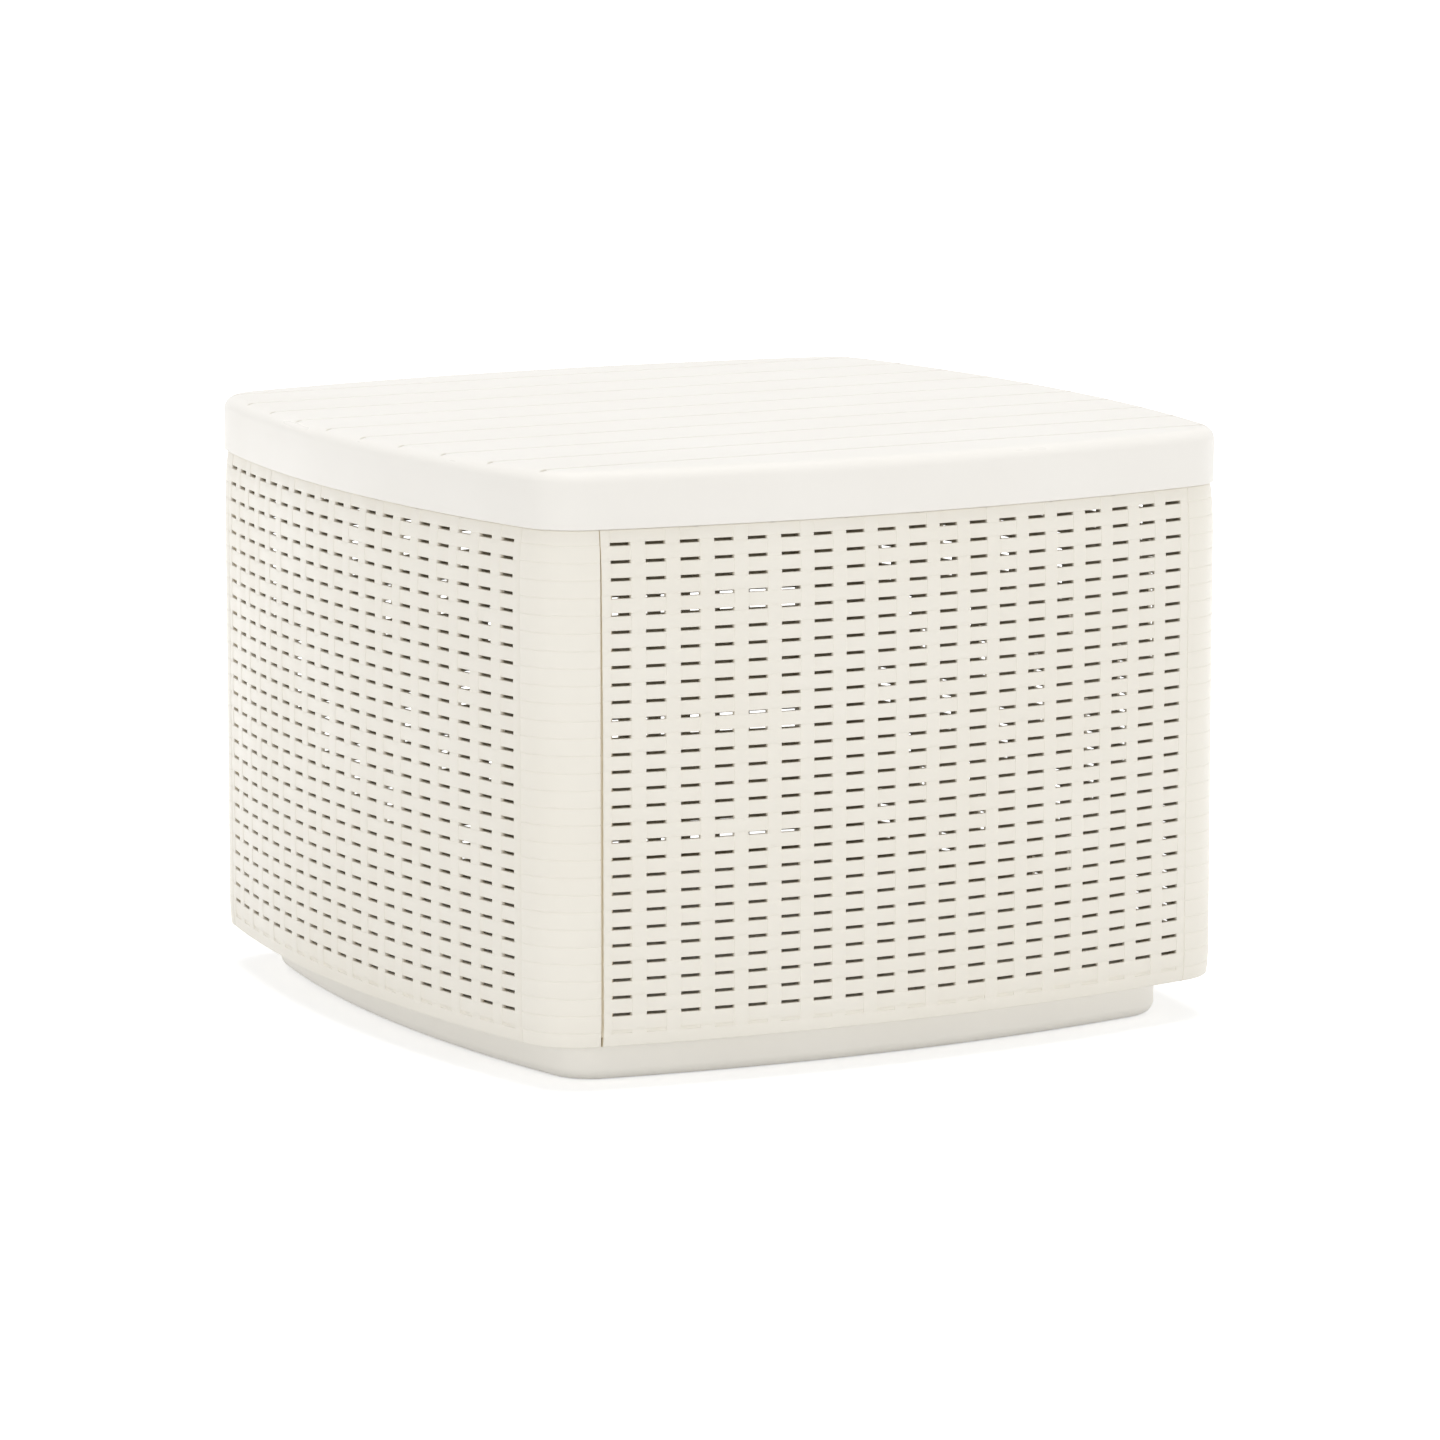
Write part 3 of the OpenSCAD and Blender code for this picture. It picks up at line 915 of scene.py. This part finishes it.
def lid_fittings():
    """Closed shells under the lid: crossed ribs, locating ribs and gussets. A gusset's outer
    corner runs along the middle of the rolled edge's wall."""
    lattice = rib_lattice(lid_top - wall - lid_rib_h, lid_top - wall + sink, lid_reach)
    locator = upright_box_strip(locator_in, locator_in + rib_t, lid_z - locator_h,
                                lid_top - wall + sink)
    rail = carried(locator, *side_path(-locator_half, locator_half, steps=32), False)
    shells = [lattice] + [(quarter_turned(rail[0], q), rail[1]) for q in range(4)]
    turn = np.linspace(0, math.pi / 2, 7)
    bend = lid_edge - sink
    gusset_profile = np.array(
        [(sink, lid_z)]
        + [(lid_edge - bend * math.cos(a), lid_top - lid_edge + bend * math.sin(a)) for a in turn]
        + [(locator_in + rib_t / 2, lid_top - sink), (locator_in + rib_t / 2, lid_z)]
    )
    side_gussets = int(locator_half / gusset_pitch)
    for i in range(-side_gussets, side_gussets + 1):
        x = i * gusset_pitch
        ends = np.array([[x - rib_t / 2, -side_at(x, 0)], [x + rib_t / 2, -side_at(x, 0)]])
        gusset = carried(gusset_profile, ends, to_front, False)
        shells += [(quarter_turned(gusset[0], q), gusset[1]) for q in range(4)]
    return shells


tray, tray_painted_shade, tray_rub = lid_shell()
under = lid_fittings()
plain_points = sum(len(shell[0]) for shell in under)
lid = moulding("lid_moulding", [tray, *under], {
    "painted_shade": np.r_[tray_painted_shade, np.zeros(plain_points)],
    "rub": np.r_[tray_rub, np.zeros(plain_points)],
})
# Its second colour is that of the painted shade at the grooves' ends, and of the real stain.
lid_plastic = plastic(
    "lid_plastic", crown=(0.86, 0.836, 0.79, 1), stain_and_shade=(0.66, 0.62, 0.55, 1),
    roughness=0.42, grain_scale=1700.0, grain_depth=0.00010,
)
finished(lid, lid_plastic, "lid", "lid_plastic", "lid")

# Floor: a plain pale ground that runs out to white. Its own colour carries the shadow round the
# table. A share of white is added to it where the camera sees it, directly, mirrored or through
# something clear, and grows to full white far out.


def background_rays(tree):
    """Output that is 1 for the rays that the white background shows to, those from the camera
    and those from a glossy or clear surface, and 0 for all others: the largest of the three."""
    path = add_node(tree, "ShaderNodeLightPath")
    surface = add_node(tree, "ShaderNodeMath", operation="MAXIMUM")
    tree.links.new(path.outputs["Is Glossy Ray"], surface.inputs[0])
    tree.links.new(path.outputs["Is Transmission Ray"], surface.inputs[1])
    seen = add_node(tree, "ShaderNodeMath", operation="MAXIMUM")
    tree.links.new(path.outputs["Is Camera Ray"], seen.inputs[0])
    tree.links.new(surface.outputs[0], seen.inputs[1])
    return seen.outputs[0]


floor_r = 14.0
floor_drop = 0.0002
floor_points = np.column_stack([
    floor_r * np.cos(circle), floor_r * np.sin(circle), np.full(round_steps, ground - floor_drop)
])
floor = moulding("studio_floor", [(floor_points, [np.arange(round_steps)[None, :]])])
floor_material = bpy.data.materials.new("floor_white")
floor_material.use_nodes = True
floor_tree = floor_material.node_tree
floor_tree.nodes.clear()
floor_link = floor_tree.links.new
matte = add_node(floor_tree, "ShaderNodeBsdfDiffuse", {"Color": (0.80, 0.80, 0.80, 1)})
glow = add_node(floor_tree, "ShaderNodeEmission", {"Color": (1, 1, 1, 1)})
floor_place = add_node(floor_tree, "ShaderNodeTexCoord")
away = add_node(floor_tree, "ShaderNodeVectorMath", operation="LENGTH")
floor_link(floor_place.outputs["Object"], away.inputs[0])
fill = add_node(
    floor_tree, "ShaderNodeMapRange",
    {"From Min": 0.45, "From Max": 1.3, "To Min": 0.5, "To Max": 1.0},
)
floor_link(away.outputs["Value"], fill.inputs["Value"])
share = add_node(floor_tree, "ShaderNodeMath", operation="MULTIPLY")
floor_link(background_rays(floor_tree), share.inputs[0])
floor_link(fill.outputs["Result"], share.inputs[1])
floor_link(share.outputs[0], glow.inputs["Strength"])
both = add_node(floor_tree, "ShaderNodeAddShader")
floor_link(matte.outputs[0], both.inputs[0])
floor_link(glow.outputs[0], both.inputs[1])
floor_out = add_node(floor_tree, "ShaderNodeOutputMaterial")
floor_link(both.outputs[0], floor_out.inputs["Surface"])
floor.data.materials.append(floor_material)

# Light: a white studio. A broad soft lamp stands low at each side, so that the walls and the
# plinth under them show alike, and one hangs over the top, which is the brightest face. The
# white backdrop shows to the camera and in what the plastic reflects.

world = bpy.data.worlds.new("studio")
bpy.context.scene.world = world
world.use_nodes = True
world_tree = world.node_tree
world_tree.nodes.clear()
world_link = world_tree.links.new
ambient = add_node(world_tree, "ShaderNodeBackground",
                   {"Color": (1, 1, 1, 1), "Strength": 0.545})
backdrop = add_node(world_tree, "ShaderNodeBackground", {"Color": (1, 1, 1, 1), "Strength": 1.0})
world_mix = add_node(world_tree, "ShaderNodeMixShader")
world_link(background_rays(world_tree), world_mix.inputs["Fac"])
world_link(ambient.outputs[0], world_mix.inputs[1])
world_link(backdrop.outputs[0], world_mix.inputs[2])
world_out = add_node(world_tree, "ShaderNodeOutputWorld")
world_link(world_mix.outputs[0], world_out.inputs["Surface"])

middle = Vector((0, 0, lid_top / 2))


def direction(azimuth, elevation):
    """Unit vector towards a place seen at an azimuth a from the front, positive to the right,
    and at an elevation e, in degrees: (sin a cos e, -cos a cos e, sin e)."""
    a = math.radians(azimuth)
    e = math.radians(elevation)
    return Vector((math.sin(a) * math.cos(e), -math.cos(a) * math.cos(e), math.sin(e)))


def soft_lamp(name, azimuth, elevation, distance, wide, high, power):
    """A rectangular area lamp that looks at the middle of the table from an angle and
    distance. The plastic reflects the backdrop in its place."""
    back = direction(azimuth, elevation)
    light = bpy.data.lights.new(name, "AREA")
    light.shape = "RECTANGLE"
    light.size = wide
    light.size_y = high
    light.energy = power
    lamp = bpy.data.objects.new(name, light)
    lamp.location = middle + back * distance
    lamp.rotation_mode = "QUATERNION"
    lamp.rotation_quaternion = (-back).to_track_quat("-Z", "Y")
    lamp.visible_glossy = False
    bpy.context.collection.objects.link(lamp)


for lamp_name, lamp_azimuth, lamp_power in (
    ("left_lamp", -89, 24),
    ("front_lamp", 6, 28.5),
    ("right_lamp", 98, 17),
    ("back_lamp", 186, 18),
):
    soft_lamp(
        lamp_name, lamp_azimuth, elevation=5, distance=3.2, wide=2.6, high=0.8, power=lamp_power
    )
soft_lamp("top_lamp", azimuth=0, elevation=88, distance=2.6, wide=2.0, high=2.0, power=36)

# Camera: a long lens a little above the table's top, with the near corner left of the middle.

view_azimuth = -28.78
view_elevation = 9.39
view_distance = 4.4
view_lens = 167.04
view_aim = Vector((0.0075, 0, 0.1788))
camera_data = bpy.data.cameras.new("camera")
camera_data.lens = view_lens
camera_data.sensor_width = 36
camera_data.clip_end = 100
camera = bpy.data.objects.new("camera", camera_data)
bpy.context.collection.objects.link(camera)
view_back = direction(view_azimuth, view_elevation)
camera.location = view_aim + view_back * view_distance
camera.rotation_mode = "QUATERNION"
camera.rotation_quaternion = (-view_back).to_track_quat("-Z", "Y")
bpy.context.scene.camera = camera
bpy.context.scene.view_settings.view_transform = "Standard"
